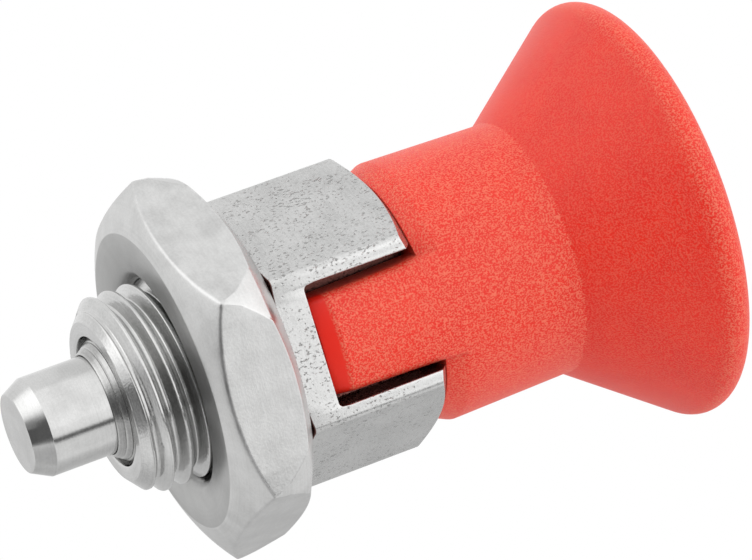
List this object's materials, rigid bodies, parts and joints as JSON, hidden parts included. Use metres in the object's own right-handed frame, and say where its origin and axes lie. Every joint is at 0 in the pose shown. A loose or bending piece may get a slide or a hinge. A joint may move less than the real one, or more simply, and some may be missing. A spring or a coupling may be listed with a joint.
{
  "type": "indexing plunger",
  "caption": "Spring-loaded indexing plunger: threaded steel body with a lock nut, a locking pin and a mushroom pull grip whose tongues park the pin withdrawn.",
  "frame": {"origin": "on the axis, at the lock nut's clamping face, which is where the free stretch of the thread begins", "axes": "+Z along the pin towards the grip, +Y and -Y square to the two slotted flats of the body, +X through two corners of its hexagon"},
  "size_m": [0.0216, 0.0216, 0.0344],
  "materials": {
    "body_steel": "turned and milled stainless steel, fine pits on the flats",
    "bush_steel": "turned stainless steel, bright",
    "pin_steel": "ground stainless steel, bright",
    "spring_steel": "drawn spring wire",
    "red_plastic": "spark-eroded fine grain, satin",
    "nut_steel": "satin stainless steel with turned bevels"
  },
  "bodies": {
    "housing": {"threaded_body": "body_steel", "guide_bush": "bush_steel", "spring": "spring_steel"},
    "plunger": {"locking_pin": "pin_steel"},
    "grip": {"mushroom_grip": "red_plastic"},
    "nut": {"lock_nut": "nut_steel"}
  },
  "joints": [
    {"name": "pull", "type": "slide", "parent": "housing", "child": "plunger", "axis": [0, 0, 1], "range_m": [0, 0.0061], "stiffness_N_per_m": 1280, "springref_m": -0.0047, "deforming": ["spring"]},
    {"name": "grip_turn", "type": "hinge", "parent": "plunger", "child": "grip", "pos_m": [0, 0, 0.0125], "axis": [0, 0, 1], "range_deg": [-5.3, 2.3]},
    {"name": "nut_travel", "type": "slide", "parent": "housing", "child": "nut", "axis": [0, 0, -1], "range_m": [0, 0.002]}
  ]
}
